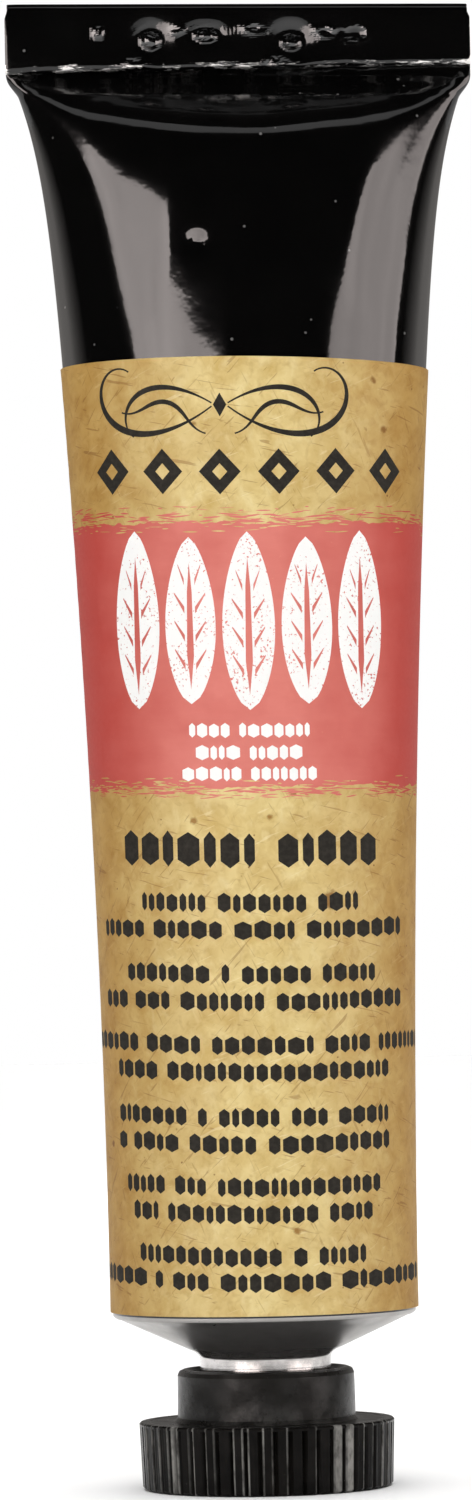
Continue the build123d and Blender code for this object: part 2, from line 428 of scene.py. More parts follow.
def red_colour(tree):
    """Red ink rolled thinly on the paper, so that its fibres tint it, under painted shade towards
    the tube's sides.
    """
    strands = noise_at(sheet_mm(tree, (0.3, 1.2, 1)), 0.5, 4, 0.6)
    pull = remap(strands, 0.4, 0.75, 0, 0.5)
    colour = mix_colour(pull, (0.72, 0.21, 0.172), (0.64, 0.155, 0.125))
    speck = remap(noise_at(sheet_mm(tree), 4.5, 3, 0.6), 0.66, 0.74, 0.0, 0.3)
    colour = mix_colour(speck, colour, (0.80, 0.36, 0.24))
    # Painted shade: the red is multiplied darker towards the tube's sides
    return painted_side_shade(tree, colour, (0.66, 0.27, 0.25))


def white_colour(tree):
    """White print. On the leaves it has worn pinholes where the red shows through."""
    flat = sheet_mm(tree)
    fine = noise_at(flat, 5.2, 3, 0.6)
    broad = remap(noise_at(flat, 0.42, 3, 0.6), 0.42, 0.72, 0.0, 0.13)
    worn = remap(math_node("ADD", fine, broad), 0.655, 0.70)
    on_leaves = remap(xyz(flat)[1], LEAF_FOOT - 0.3, LEAF_FOOT)
    # The red in the pinholes carries its painted shade at the sides
    return mix_colour(times(worn, on_leaves), (0.95, 0.94, 0.92), red_colour(tree))


def charcoal_colour(tree):
    tone = remap(noise_at(sheet_mm(tree), 2.5, 3, 0.6), 0.4, 0.75)
    return mix_colour(tone, (0.016, 0.014, 0.011), (0.032, 0.028, 0.022))


def cap_material():
    """Black moulded plastic: a collar with an uneven satin sheen, and a grip rim of deeper black
    whose ridges are pale along some edges and faces, from wear and, at two azimuths, as a painted
    highlight on the faces."""
    material, tree = new_material("black_plastic")
    place = object_mm(tree)
    x, y, z = xyz(place)
    radius = axis_radius(place)
    rim = remap(radius, 7.2, 7.4)
    collar = remap(radius, 6.2, 6.0)
    cloud = noise_at(place, 0.5, 4, 0.6)
    shade = remap(cloud, 0.35, 0.7)
    collar_black = mix_colour(shade, (0.011, 0.0101, 0.009), (0.019, 0.0175, 0.0158))
    rim_black = mix_colour(shade, (0.0026, 0.0023, 0.0019), (0.009, 0.008, 0.007))
    black = mix_colour(rim, collar_black, rim_black)

    # Where round the rim the ridges' faces get a painted highlight, and where each point lies on
    # its own ridge
    angle = math_node("ARCTAN2", y, x)
    # worn holds no wear here: it is the painted highlight, largest at the azimuths that face the
    # lights
    worn = 0
    for azimuth, spread in HIGHLIGHT_AZIMUTHS:
        off = apart(angle, radians(azimuth - 90))
        near = remap(off, radians(spread), radians(spread / 3), 0.0, 0.6)
        worn = math_node("MAXIMUM", near, worn)
    ridges = times(angle, GROOVES / (2 * pi))
    off_middle = apart(math_node("FRACT", ridges), 0.5)
    off_edge = apart(off_middle, 0.3)

    def chance(parts):
        """A random number for each ridge, or for each of its parts."""
        part = math_node("FLOOR", times(ridges, parts))
        return after(part, "TexWhiteNoise", {"W": part}, noise_dimensions="1D")

    edge_seen = remap(chance(2), 0.4, 1.0)
    edge = times(remap(off_edge, 0.03, 0.09, 1.0, 0.0), edge_seen)
    # Faces turn pale at random, and more often at those azimuths as painted highlight
    face_seen = remap(math_node("ADD", chance(1), worn), 0.9, 1.1)
    face = times(remap(off_middle, 0.22, 0.32, 1.0, 0.0), face_seen)
    patches = noise_at(object_mm(tree, (1, 1, 0.5)), 1.6, 3, 0.6)
    pale_edges_and_highlights = math_node("MAXIMUM", edge, face)
    pale_edges_and_highlights = times(pale_edges_and_highlights, remap(patches, 0.35, 0.6, 0.25, 1.0))

    scuff = remap(noise_at(place, 1.6, 4, 0.75), 0.70, 0.76, 0.0, 0.5)
    foot = remap(z, 4.4, 5.6, 0.16, 0.0)
    smudge = remap(noise_at(place, 0.6, 4, 0.7), 0.48, 0.62, 0.0, foot)
    scuff = math_node("MAXIMUM", scuff, times(smudge, collar))
    # marks: scuffs, smudges and pale ridges, whose faces are partly painted highlight
    marks = math_node("MAXIMUM", times(pale_edges_and_highlights, rim), scuff)
    sheen = remap(noise_at(place, 0.35, 3, 0.6), 0.38, 0.62, 0.07, 0.22)
    satin = remap(cloud, 0.3, 0.75, 0.24, 0.36)
    facets = times(noise_at(object_mm(tree, (1, 1, 0.02)), 1.3, 2, 0.6), rim)
    tool_marks = bump(facets, 0.16)
    ripple = bump(noise_at(place, 0.8, 3, 0.6), 0.06, 0.6, tool_marks)
    return varied(
        material,
        Base_Color=mix_colour(marks, black, (0.30, 0.29, 0.27)),
        Specular_IOR_Level=mix_number(rim, sheen, 0.06),
        Roughness=math_node("SUBTRACT", satin, times(rim, 0.07)),
        Normal=bump(noise_at(place, 6.0, 3, 0.6), 0.012, 0.5, ripple),
    )


def foam_material():
    material, tree = new_material("white_foam", Roughness=0.85)
    pores = cells(object_mm(tree), 4.0)
    tone = remap(pores, 0.0, 0.6)
    return varied(
        material,
        Base_Color=mix_colour(tone, (0.70, 0.70, 0.67), (0.88, 0.88, 0.86)),
        Normal=bump(pores, 0.05, 0.7),
    )


def cloudy_material(name, scale, tones, rough, depth, strength, **sockets):
    """A mass of two mixed tones, rougher where its second tone shows."""
    material, tree = new_material(name, **sockets)
    cloud = noise_at(object_mm(tree), scale, 4, 0.6)
    return varied(
        material,
        Base_Color=mix_colour(cloud, *tones),
        Roughness=remap(cloud, 0.3, 0.7, *rough),
        Normal=bump(cloud, depth, strength),
    )


# ---- tube shell


# Each column's turn from the right, its side (1 behind, -1 in front), and two masks: the back
# half, and only the very edges to the right and left
TURN = 2 * pi * np.arange(COLUMNS) / COLUMNS
ACROSS, DEEP = np.cos(TURN), np.sin(TURN)
SIDE = np.where(DEEP >= 0, 1.0, -1.0)
BACK = np.maximum(0.0, SIDE)
EDGES_ONLY = np.abs(ACROSS) ** 200


def ring(radius, z):
    """A level ring. radius is one number or one for each column."""
    radius = np.broadcast_to(radius, ACROSS.shape)
    return np.stack([radius * ACROSS, radius * DEEP, np.full(COLUMNS, float(z))], axis=1)


def threaded_radius(z):
    """The nozzle's radius at each column: a right-hand ridge that fades in and out."""
    centre = THREAD_LOW + THREAD_PITCH * TURN / (2 * pi)
    off = (z - centre + THREAD_PITCH / 2) % THREAD_PITCH - THREAD_PITCH / 2
    flank = (THREAD_ROOT - THREAD_CREST) / 2
    ridge = np.clip((THREAD_ROOT / 2 - np.abs(off)) / flank, 0, 1)
    middle = z - off
    fade = smoothstep((middle - THREAD_LOW + 0.15) / 0.4) * smoothstep((THREAD_HIGH - middle) / 0.4)
    return NECK_RADIUS + THREAD_DEPTH * ridge * fade


def wobble(x, z, size, seed):
    """A smooth random height at each point of a face. z may be one number for all of them."""
    places = zip(x, np.broadcast_to(z, x.shape))
    return np.array([noise.noise(Vector((a / size, b / size, seed))) for a, b in places])


def spread_from(x, z, mark, margin=0.0):
    """The squared distance of points from a mark's middle, in its own widths and heights."""
    at_x, at_z, wide, tall = mark[:4]
    return ((x - at_x) / (wide + margin)) ** 2 + ((z - at_z) / (tall + margin)) ** 2


# Finger dents in the bare upper body: across, height, width, height of the dent, depth
DENTS = (
    (-2.8, 77.3, 0.58, 0.50, 0.15),
    (-6.3, 79.5, 1.6, 4.5, 0.10),
    (5.6, 80.5, 1.5, 3.6, 0.10),
    (1.2, 82.0, 2.6, 1.6, 0.06),
    (8.6, 77.0, 1.2, 3.0, 0.05),
)


def body_ring(z):
    """The outer skin at a height, pinched in above the smile crease and lightly dented."""
    a, power = half_width(z), roundness(z)
    x = a * ACROSS
    flat = LAYER / 2 * bulge(ACROSS, FLAT_POWER)
    full = np.interp(z, DEPTH_Z, DEPTH) * bulge(ACROSS, power)
    u = np.abs(x) / FOLD_HALF_WIDTH
    crease = CREASE_Z + CREASE_RISE * u**CREASE_CURVE + CREASE_CORNER * u**CREASE_CORNER_CURVE
    crease += CREASE_WAVE * wobble(x, 0, 3.5, 11.0)
    length = np.maximum(PINCH_Z - crease, CREASE_MIN_LENGTH)
    closed = softplus(z - crease, CREASE_ROUND) / length
    closed = 1 - softplus(1 - closed, 0.02)
    y = flat + (full - flat) * (1 - np.clip(closed, 0, 1))
    shown = smoothstep((z - LABEL_HIGH[2] - 0.6) / 3) * smoothstep((PINCH_Z - z) / 2)
    if shown > 0:
        y += 0.05 * shown * bulge(ACROSS, 2) * wobble(x, z, 5.5, 4.0)
        for dent in DENTS:
            y -= shown * dent[4] * np.exp(-spread_from(x, z, dent)) * (1 - BACK)
    return np.stack([x, SIDE * y, np.full(COLUMNS, float(z))], axis=1)


# Press marks on the flap: across, height above the flap's edge, width, height, depth, and
# whether it is a ring
PRESS_MARKS = (
    (-8.8, 2.3, 0.30, 0.28, 0.10, 0),
    (-5.5, 1.8, 0.80, 0.72, 0.17, 1),
    (-3.9, 2.5, 0.50, 0.25, 0.09, 0),
    (-2.0, 2.1, 0.85, 0.50, 0.15, 1),
    (1.1, 2.6, 0.80, 0.30, 0.12, 0),
    (3.4, 1.7, 0.85, 0.75, 0.18, 1),
    (5.6, 2.4, 0.75, 0.32, 0.10, 0),
    (7.5, 2.2, 0.85, 0.60, 0.20, 0),
    (-6.9, 0.3, 0.80, 0.25, 0.06, 0),
    (2.4, 0.4, 0.70, 0.25, 0.07, 0),
)


def pressed_share(points):
    """How close each point of the flap's front is to a press mark, from 0 to 1."""
    x, y, z = points.T
    near = np.zeros(len(points))
    for mark in PRESS_MARKS:
        near = np.maximum(near, np.exp(-(spread_from(x, z - FLAP_Z, mark, 0.1) ** 1.5)))
    return near * smoothstep((-2 * LAYER_STEP + 0.02 - y) / 0.1)


def strip_ring(y, z, normal_y, normal_z, cut=0.0, lowered=0.0):
    """One ring of the rolled strip, round a point of its path. lowered is the share of the
    flap's wavy lower edge that the point follows."""
    half = FOLD_HALF_WIDTH - cut
    x = half * ACROSS
    waves = 0.10 * wobble(x, 0, 2.6, 7.0) + 0.05 * wobble(x, 0, 0.9, 9.0)
    height = z + lowered * (FLAP_TAPER * x + waves)
    off = SIDE * LAYER / 2 * bulge(x / FOLD_HALF_WIDTH * (1 + cut / half), FLAT_POWER)
    if normal_y < 0 and normal_z == 0:
        dent = 0.03 * wobble(x, height, 2.2, 5.0)
        for mark in PRESS_MARKS:
            away = spread_from(x, height - FLAP_Z, mark)
            deep, ringed = mark[4:]
            dent -= deep * (2.7 * away if ringed else 1) * np.exp(-away)
        off = off + BACK * dent * bulge(ACROSS, 8) * smoothstep((HEIGHT - height) / 0.8)
    return np.stack([x, y + normal_y * off, height + normal_z * off], axis=1)


def inner_ring(z):
    """The body's inner face at a height."""
    skin = body_ring(z)
    a = half_width(z)
    skin[:, 0] *= (a - WALL) / a
    skin[:, 1] -= SIDE * WALL * bulge(ACROSS, 3)
    return skin


def shell_rings():
    """All rings of the closed shell, from the ink's top, down inside, out of the mouth, up the
    outside and round the rolls. Each ring comes with its finish and how worn its enamel is."""
    rings = []

    def put(points, finish=METAL, wear=0.0):
        rings.append((points, finish, np.broadcast_to(wear, (COLUMNS,))))

    edge_radius = TUBE_RADIUS - SHOULDER_EDGE
    edge_z = SHOULDER_Z - SHOULDER_EDGE
    inner_z = edge_z + SHOULDER_WALL / cos(atan(SHOULDER_SLOPE))
    for z in np.concatenate([np.arange(87.2, 84, -0.4), np.arange(82, inner_z + 1, -6)]):
        put(inner_ring(z))

    # Down inside the shoulder and the bore, and round the mouth's lip
    bore_z = inner_z - SHOULDER_SLOPE * (TUBE_RADIUS - WALL - ORIFICE_RADIUS)
    for radius, z in (
        (TUBE_RADIUS - WALL, inner_z + 0.05),
        (ORIFICE_RADIUS + 0.1, bore_z + 0.06),
        (ORIFICE_RADIUS, bore_z - 0.1),
        (ORIFICE_RADIUS, MOUTH_Z + 0.1),
        (ORIFICE_RADIUS + 0.03, MOUTH_Z + 0.02),
        (ORIFICE_RADIUS + 0.1, MOUTH_Z),
        (NECK_RADIUS - 0.3, MOUTH_Z),
        (NECK_RADIUS - 0.22, MOUTH_Z + 0.03),
        (NECK_RADIUS - 0.03, MOUTH_Z + 0.22),
    ):
        put(ring(radius, z))

    # Up the thread, the fillet at its root, the shoulder's cone and its rounded edge
    root_z = edge_z - SHOULDER_SLOPE * (edge_radius - NECK_RADIUS)
    for z in np.arange(MOUTH_Z + 0.32, root_z - 0.5, 0.11):
        put(ring(threaded_radius(z), z))
    for turn in np.linspace(0, pi / 2 - atan(SHOULDER_SLOPE), 9):
        out = NECK_FILLET * (1 - cos(turn))
        put(ring(NECK_RADIUS + out, root_z - 0.36 + NECK_FILLET * sin(turn)))
    cone_radius = edge_radius - SHOULDER_ROUND
    for radius in np.linspace(NECK_RADIUS + out + 0.05, cone_radius, 7):
        put(ring(radius, edge_z - SHOULDER_SLOPE * (edge_radius - radius)))
    cone_z = edge_z - SHOULDER_SLOPE * SHOULDER_ROUND
    for share in np.linspace(0.1, 1, 7):
        turn = share * pi / 2
        radius = cone_radius + (SHOULDER_ROUND + SHOULDER_EDGE) * sin(turn)
        put(ring(radius, cone_z + 0.32 * (1 - cos(turn))))

    # Up the enamelled body, with its rings closest where it folds
    put(body_ring(SHOULDER_Z + 0.3), ENAMEL)
    for z in np.concatenate([
        np.linspace(13, 69, 14),
        np.arange(70, 83.6, 0.36),
        np.arange(83.75, PINCH_Z, 0.14),
    ]):
        put(body_ring(z), ENAMEL, 0.5 * EDGES_ONLY * smoothstep((z - 87.5) / 0.8))
    strip_rings(put)
    return rings


def strip_rings(put):
    """The rings of the strip's path: up at the back, over, down the flap, under and up inside."""
    top_z = HEIGHT - LAYER_STEP - LAYER / 2
    low_z = FLAP_Z + LAYER_STEP / 2 + LAYER / 2
    rim = 0.55 * EDGES_ONLY
    for z in np.linspace(PINCH_Z, top_z, 9):
        cut = CORNER_CUT * smoothstep((z - top_z + 0.5) / 0.5)
        put(strip_ring(0, z, 1, 0, cut), ENAMEL, rim)
    for turn in np.linspace(0, pi, 11)[1:-1]:
        y = -LAYER_STEP + LAYER_STEP * cos(turn)
        z = top_z + LAYER_STEP * sin(turn)
        put(strip_ring(y, z, cos(turn), sin(turn), CORNER_CUT), ENAMEL, rim + 0.2)
    for share in np.linspace(0, 1, 30):
        z = top_z + (low_z - top_z) * share
        cut = CORNER_CUT * smoothstep(1 - (top_z - z) / 0.5)
        near_edge = smoothstep((share - 0.86) / 0.14)
        put(strip_ring(-2 * LAYER_STEP, z, -1, 0, cut, share), ENAMEL, rim + 0.46 * near_edge)
    for turn in np.linspace(0, pi, 9)[1:-1]:
        y = -1.5 * LAYER_STEP - LAYER_STEP / 2 * cos(turn)
        z = low_z - LAYER_STEP / 2 * sin(turn)
        put(strip_ring(y, z, -cos(turn), -sin(turn), 0.0, 1.0), ENAMEL, rim + 0.5)
    for share in np.linspace(0, 1, 5):
        z = low_z + (TUCK_END_Z - low_z) * share
        put(strip_ring(-LAYER_STEP, z, 1, 0, 0.0, 1.0 - share), ENAMEL, rim)


def end_cap(first, flip):
    """Faces that close one ring: quads between its two facing halves, with triangles at the
    pointed sides."""
    faces = []
    half = COLUMNS // 2
    for i in range(half):
        a, b = first + i, first + i + 1
        c, d = first + (COLUMNS - i - 1) % COLUMNS, first + (COLUMNS - i) % COLUMNS
        face = list(dict.fromkeys((a, b, c, d)))
        if len(face) > 2:
            faces.append(face[::-1] if flip else face)
    return faces


def add_object(name, data):
    """Puts new data into the scene as an object."""
    made = bpy.data.objects.new(name, data)
    bpy.context.scene.collection.objects.link(made)
    return made


def add_mesh(name, points, faces, materials, finishes=None):
    """A mesh object. It is smooth if its faces have finishes, which number the materials."""
    mesh = bpy.data.meshes.new(name)
    mesh.from_pydata(points, [], faces)
    for material in materials:
        mesh.materials.append(material)
    if finishes:
        mesh.polygons.foreach_set("material_index", finishes)
        mesh.polygons.foreach_set("use_smooth", [True] * len(faces))
    return add_object(name, mesh)


def make_shell(metal, enamel):
    """The tube with its rolled end, as one closed mesh in the place of the CAD's."""
    rings, ring_finish, ring_wear = zip(*shell_rings())
    points = np.concatenate(rings)
    pressed_in = np.where(points[:, 2] > PINCH_Z, pressed_share(points), 0.0)
    points = crooked(points) * MM
    faces, finishes = [], []
    here = np.arange(COLUMNS)
    ahead = (here + 1) % COLUMNS
    for row, finish in enumerate(ring_finish[1:]):
        quads = np.stack([here, ahead, ahead + COLUMNS, here + COLUMNS], axis=1)
        faces.extend((quads + row * COLUMNS).tolist())
        finishes.extend([finish] * COLUMNS)
    for row, flip in ((0, True), (len(rings) - 1, False)):
        cap = end_cap(row * COLUMNS, flip)
        faces.extend(cap)
        finishes.extend([ring_finish[row]] * len(cap))
    shell = add_mesh("tube_shell", points.tolist(), faces, (metal, enamel), finishes)
    for name, values in (("wear", np.concatenate(ring_wear)), ("pressed", pressed_in)):
        layer = shell.data.attributes.new(name, "FLOAT", "POINT")
        layer.data.foreach_set("value", values.astype(np.float32))
    shell.data.update()
    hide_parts("tube_body")
    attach(shell, "tube")


# ---- label


def surface_tables():
    """The label's middle surface as points and outward normals on a grid: rows are heights, and
    columns are equal steps of length round the body from the front middle."""
    heights = np.linspace(LABEL_LOW[2] - 0.5, LABEL_HIGH[2] + 0.5, 90)
    lengths = np.linspace(-GIRTH / 2, GIRTH / 2, 721)
    turn = np.linspace(-pi, pi, 1441)
    points = np.zeros((len(heights), len(lengths), 3))
    for row, z in enumerate(heights):
        a = half_width(z) + LABEL_MIDDLE_GAP
        b = np.interp(z, DEPTH_Z, DEPTH) + LABEL_MIDDLE_GAP
        x = a * np.sin(turn)
        y = -b * np.sign(np.cos(turn)) * bulge(np.sin(turn), roundness(z))
        along = np.concatenate([[0], np.cumsum(np.hypot(np.diff(x), np.diff(y)))])
        along = (along / along[-1] - 0.5) * GIRTH
        points[row, :, 0] = np.interp(lengths, along, x)
        points[row, :, 1] = np.interp(lengths, along, y)
        points[row, :, 2] = z
    side = np.gradient(points, axis=1)
    side[:, 0] = side[:, -1] = (points[:, 1] - points[:, -2]) / 2
    normals = np.cross(side, np.gradient(points, axis=0))
    normals /= np.linalg.norm(normals, axis=2, keepdims=True)
    return heights, lengths, points, normals


HEIGHTS, LENGTHS, SURFACE, NORMALS = surface_tables()


def look_up(table, s, z):
    """Values of a grid table at lengths s round the body and heights z."""
    s = (s + GIRTH / 2) % GIRTH / GIRTH * (len(LENGTHS) - 1)
    z = (z - HEIGHTS[0]) / (HEIGHTS[-1] - HEIGHTS[0]) * (len(HEIGHTS) - 1)
    i = np.clip(s.astype(int), 0, len(LENGTHS) - 2)
    j = np.clip(z.astype(int), 0, len(HEIGHTS) - 2)
    u, v = (s - i)[:, None], (z - j)[:, None]
    low = table[j, i] * (1 - u) + table[j, i + 1] * u
    high = table[j + 1, i] * (1 - u) + table[j + 1, i + 1] * u
    return low * (1 - v) + high * v


def placed(points):
    """A printed point (s, z) as it sits on the crooked label: level print, slightly bowed."""
    placed_points = []
    for s, z in points:
        slope = PRINT_SLOPE - float(np.interp(z, CROOKED_Z, CROOKED_SLOPE))
        x = TUBE_RADIUS * sin(s / TUBE_RADIUS)
        reach = min(abs(s), SMILE_REACH) / SMILE_REACH
        bow = SMILE * (1 - cos(pi * reach)) / 2
        placed_points.append((s, z + slope * x + bow))
    return placed_points


def print_lean(z):
    """The print's middle line leans a little on the body."""
    return -0.1 + 0.0205 * (z - 54)


def gouge_mark(s, z, width, height):
    """A short cut as a gouge leaves it, pointed at both ends, from its left foot."""
    middle = s + width / 2
    taper = min(0.2 * height, 0.6 * width)
    return [
        (middle, z),
        (s + width, z + taper),
        (s + width, z + height - taper),
        (middle, z + height),
        (s, z + height - taper),
        (s, z + taper),
    ]


def text_line(z, half, height, words, seed, middle=None):
    """A line of plain gouge marks that stands where the photo has small print: upright cuts of
    uneven width in groups. They have no letter's shape."""
    rng = random.Random(seed)
    middle = print_lean(z) if middle is None else middle
    gap, space = 0.13 * height, 0.65 * height
    groups = [[rng.uniform(0.4, 1.0) for _ in range(round(1.35 * count))] for count in words]
    room = 2 * half - space * (len(words) - 1) - gap * sum(len(group) - 1 for group in groups)
    unit = room / sum(map(sum, groups))
    s = middle - half
    shapes = []
    for group in groups:
        for share in group:
            foot = z + rng.uniform(0, 0.05) * height
            shapes.append(gouge_mark(s, foot, share * unit, height * rng.uniform(0.93, 1.02)))
            s += share * unit + gap
        s += space - gap
    return shapes


def leaf(middle, low, high, half):
    """A pointed leaf with a slit along its midrib and slanting veins, as cut in lino.
    Returns its outline and its cuts."""
    steps = np.linspace(0, 1, 25)
    width = half * np.sin(pi * steps**0.9) ** 0.62
    z = low + (high - low) * steps
    outline = [(middle + w, h) for w, h in zip(width, z)]
    outline += [(middle - w, h) for w, h in zip(width[-2:0:-1], z[-2:0:-1])]
    rib = 0.22
    cuts = [[
        (middle, low + 0.9),
        (middle + rib, low + 3.0),
        (middle + rib * 0.7, high - 3.4),
        (middle, high - 1.6),
        (middle - rib * 0.7, high - 3.4),
        (middle - rib, low + 3.0),
    ]]
    for step in range(4):
        root = low + 2.1 + 1.75 * step
        reach = half * (0.62 if step < 3 else 0.45)
        for side in (-1, 1):
            inner, tip = middle + side * 0.34, middle + side * reach
            vein = [(inner, root), (tip, root + 1.2), (tip, root + 1.32), (inner, root + 0.42)]
            cuts.append(vein)
    return outline, cuts


def stroke(points, widths):
    """A pen stroke as a chain of small four-sided pieces along a line of points."""
    points = np.array(points)
    ahead = np.gradient(points, axis=0)
    ahead /= np.linalg.norm(ahead, axis=1, keepdims=True)
    side = np.stack([-ahead[:, 1], ahead[:, 0]], axis=1) * np.array(widths)[:, None] / 2
    left, right = points + side, points - side
    return [
        [tuple(right[i]), tuple(right[i + 1]), tuple(left[i + 1]), tuple(left[i])]
        for i in range(len(points) - 1)
    ]


def scroll(start, heading, bends, step, thick, mirror=1):
    """A pen line that bends as listed, in radians per step, thin at its ends."""
    s, z = start
    points = [(s, z)]
    angle = radians(heading)
    for bend in bends:
        angle += bend
        s, z = s + mirror * step * cos(angle), z + step * sin(angle)
        points.append((s, z))
    share = np.linspace(0, 1, len(points))
    return stroke(points, 0.1 + (thick - 0.1) * np.sin(pi * share) ** 2)


def flourish(middle, z):
    """A plain calligraphic divider: two mirrored scrolls, two swashes and a small lozenge."""
    shapes = []
    size = 1.22
    curl = [0.02 + 0.16 * (i / 60) ** 2 for i in range(60)]
    sway = [0.11 * cos(i / 40 * 2 * pi) for i in range(41)]
    for mirror in (-1, 1):
        shapes += scroll((middle + mirror * 0.5, z), -38, curl, 0.17 * size, 0.42, mirror)
        back = [-bend for bend in curl[:52]]
        shapes += scroll((middle + mirror * 0.5, z + 0.2), 32, back, 0.13 * size, 0.34, mirror)
        shapes += scroll((middle + mirror * 0.9, z - 1.7), 10, sway, 0.13 * size, 0.3, mirror)
    diamond = [(0, -0.75), (0.42, 0), (0, 0.75), (-0.42, 0)]
    shapes.append([(middle + ds, z + 0.1 + dz) for ds, dz in diamond])
    return shapes


def lozenge(middle, low, high, half):
    """A lozenge's outline and the smaller hole in it."""
    centre = (low + high) / 2
    outer = [(middle, low), (middle + half, centre), (middle, high), (middle - half, centre)]
    hole = [((s - middle) * 0.36 + middle, (z - centre) * 0.36 + centre) for s, z in outer]
    return outer, hole


def ragged_edge(s, z, seed):
    """The height of a brushed edge at a length round the body."""
    rough = sum(
        size * noise.noise(Vector((s / length, seed, length)))
        for size, length in ((0.12, 0.9), (0.14, 0.33), (0.18, 6.0))
    )
    return z + rough


def band_shapes(s_low, s_high):
    """The red band with brushed edges: its outline, and thin streaks of red outside and of bare
    paper inside."""
    red_streaks, bare_streaks = 330, 150
    steps = np.linspace(s_low, s_high, 520)
    outline = [(s, ragged_edge(s, BAND[0], 1.5)) for s in steps]
    outline += [(s, ragged_edge(s, BAND[1], 4.5)) for s in steps[::-1]]
    rng = random.Random(11)
    red, bare = [], []
    for edge_z, outward, reach in ((BAND[1], 1, 0.95), (BAND[0], -1, 0.6)):
        for _ in range(red_streaks):
            s = rng.uniform(s_low, s_high)
            off = rng.random() ** 1.6 * reach
            length = rng.uniform(0.25, 1.7) * (1.2 - 0.5 * off / reach)
            thick = rng.uniform(0.04, 0.15) * (1 - 0.5 * off / reach)
            tilt = rng.uniform(-0.16, 0.16)
            red.append(streak(s, edge_z + outward * (0.08 + off), length, thick, tilt))
        for _ in range(bare_streaks):
            s = rng.uniform(s_low, s_high)
            off = rng.random() ** 1.7 * 0.65
            length, thick = rng.uniform(0.2, 1.2), rng.uniform(0.03, 0.09)
            z = edge_z - outward * (off - 0.05)
            bare.append(streak(s, z, length, thick, rng.uniform(-0.1, 0.1)))
    return outline, red, bare


def streak(s, z, length, thick, tilt):
    """A thin pointed smear of ink along the sheet."""
    shape = []
    for side in (-1, 1):
        for share in np.linspace(side, -side, 7)[:-1]:
            body = side * (1 - abs(share) ** 2.4) * thick / 2
            shape.append((s + share * length / 2, z + body + tilt * share * length / 2))
    return shape


# Lines of print: height of the foot, half length, height of the marks, marks in each group,
# seed, and the middle where the line doesn't follow the print's lean
BACK_MIDDLE = -GIRTH / 2 + 0.8
WHITE_LINES = (
    (46.42, 3.75, 0.92, (3, 5), 21, -0.2),
    (45.04, 3.3, 0.92, (3, 4), 22, -0.25),
    (43.74, 4.2, 0.92, (4, 5), 23, -0.25),
)
WHITE_BACK_LINES = (
    (54.5, 5.2, 1.5, (4, 4), 51, BACK_MIDDLE),
    (51.4, 6.6, 0.85, (5, 2, 6), 52, BACK_MIDDLE),
    (49.5, 6.0, 0.85, (3, 6, 3), 53, BACK_MIDDLE),
)

# The small print in front, line by line: height, half length and marks in each group. At the
# back its lines are evenly spaced
FRONT_ROWS = (
    (35.65, 7.15, (5, 5, 3)),
    (34.0, 11.2, (4, 4, 3, 6)),
    (31.3, 8.55, (5, 1, 4, 4)),
    (29.6, 11.3, (2, 2, 5, 8)),
    (26.95, 14.6, (5, 3, 5, 3, 6)),
    (25.3, 9.85, (3, 13)),
    (22.55, 9.83, (5, 1, 4, 2, 4)),
    (20.9, 9.92, (1, 3, 4, 7)),
    (18.3, 9.0, (4, 2, 10)),
    (16.65, 8.3, (2, 9, 3)),
    (14.05, 7.73, (9, 1, 4)),
    (12.5, 14.6, (5, 1, 2, 5, 6)),
)
BACK_ROWS = (
    (8.2, (5, 3, 6, 4)),
    (7.4, (4, 7, 5)),
    (8.4, (3, 6, 2, 7)),
    (7.9, (8, 5, 4)),
    (8.1, (2, 6, 4, 5)),
    (6.4, (5, 8)),
    (8.3, (4, 4, 7, 3)),
    (7.6, (6, 2, 8)),
    (4.6, (4, 5)),
)


def printed_shapes(s_low, s_high):
    """Everything printed, in the order it is laid down, as (finish, outline)."""
    shapes = []

    def lay(finish, outlines):
        shapes.extend((finish, placed(outline)) for outline in outlines)

    outline, red, bare = band_shapes(s_low, s_high)
    lay("red", [outline, *red])
    lay("kraft", bare)
    lay("charcoal", flourish(-1.6, 67.0))
    for i in range(6):
        outer, hole = lozenge(-9.0 + 3.66 * i, 61.5, 64.35, 1.3)
        lay("charcoal", [outer])
        lay("kraft", [hole])
    for i in range(5):
        inset = 0.35 * (i % 2)
        outer, cuts = leaf(-7.4 + 3.65 * i, LEAF_FOOT + inset, 59.2 - inset, 1.62)
        lay("white", [outer])
        lay("red", cuts)
    for line in WHITE_LINES:
        lay("white", text_line(*line))
    lay("charcoal", text_line(38.4, 8.6, 2.2, (5, 4), 24))
    for seed, (z, half, words) in enumerate(FRONT_ROWS, 31):
        lay("charcoal", text_line(z, half, 1.2, words, seed))
    for line in WHITE_BACK_LINES:
        lay("white", text_line(*line))
    lay("charcoal", text_line(39.2, 6.0, 1.2, (3, 6), 54, BACK_MIDDLE))
    for row, (half, words) in enumerate(BACK_ROWS):
        z = 36.3 - 2.1 * row
        lay("charcoal", text_line(z, half, 0.72, words, 60 + row, BACK_MIDDLE))
    return shapes


def turned_left(outline):
    """The outline with its points in counter-clockwise order."""
    area = sum(
        x1 * y2 - x2 * y1 for (x1, y1), (x2, y2) in zip(outline, outline[1:] + outline[:1])
    )
    return outline if area > 0 else outline[::-1]


FINISHES = ("kraft", "red", "white", "charcoal")


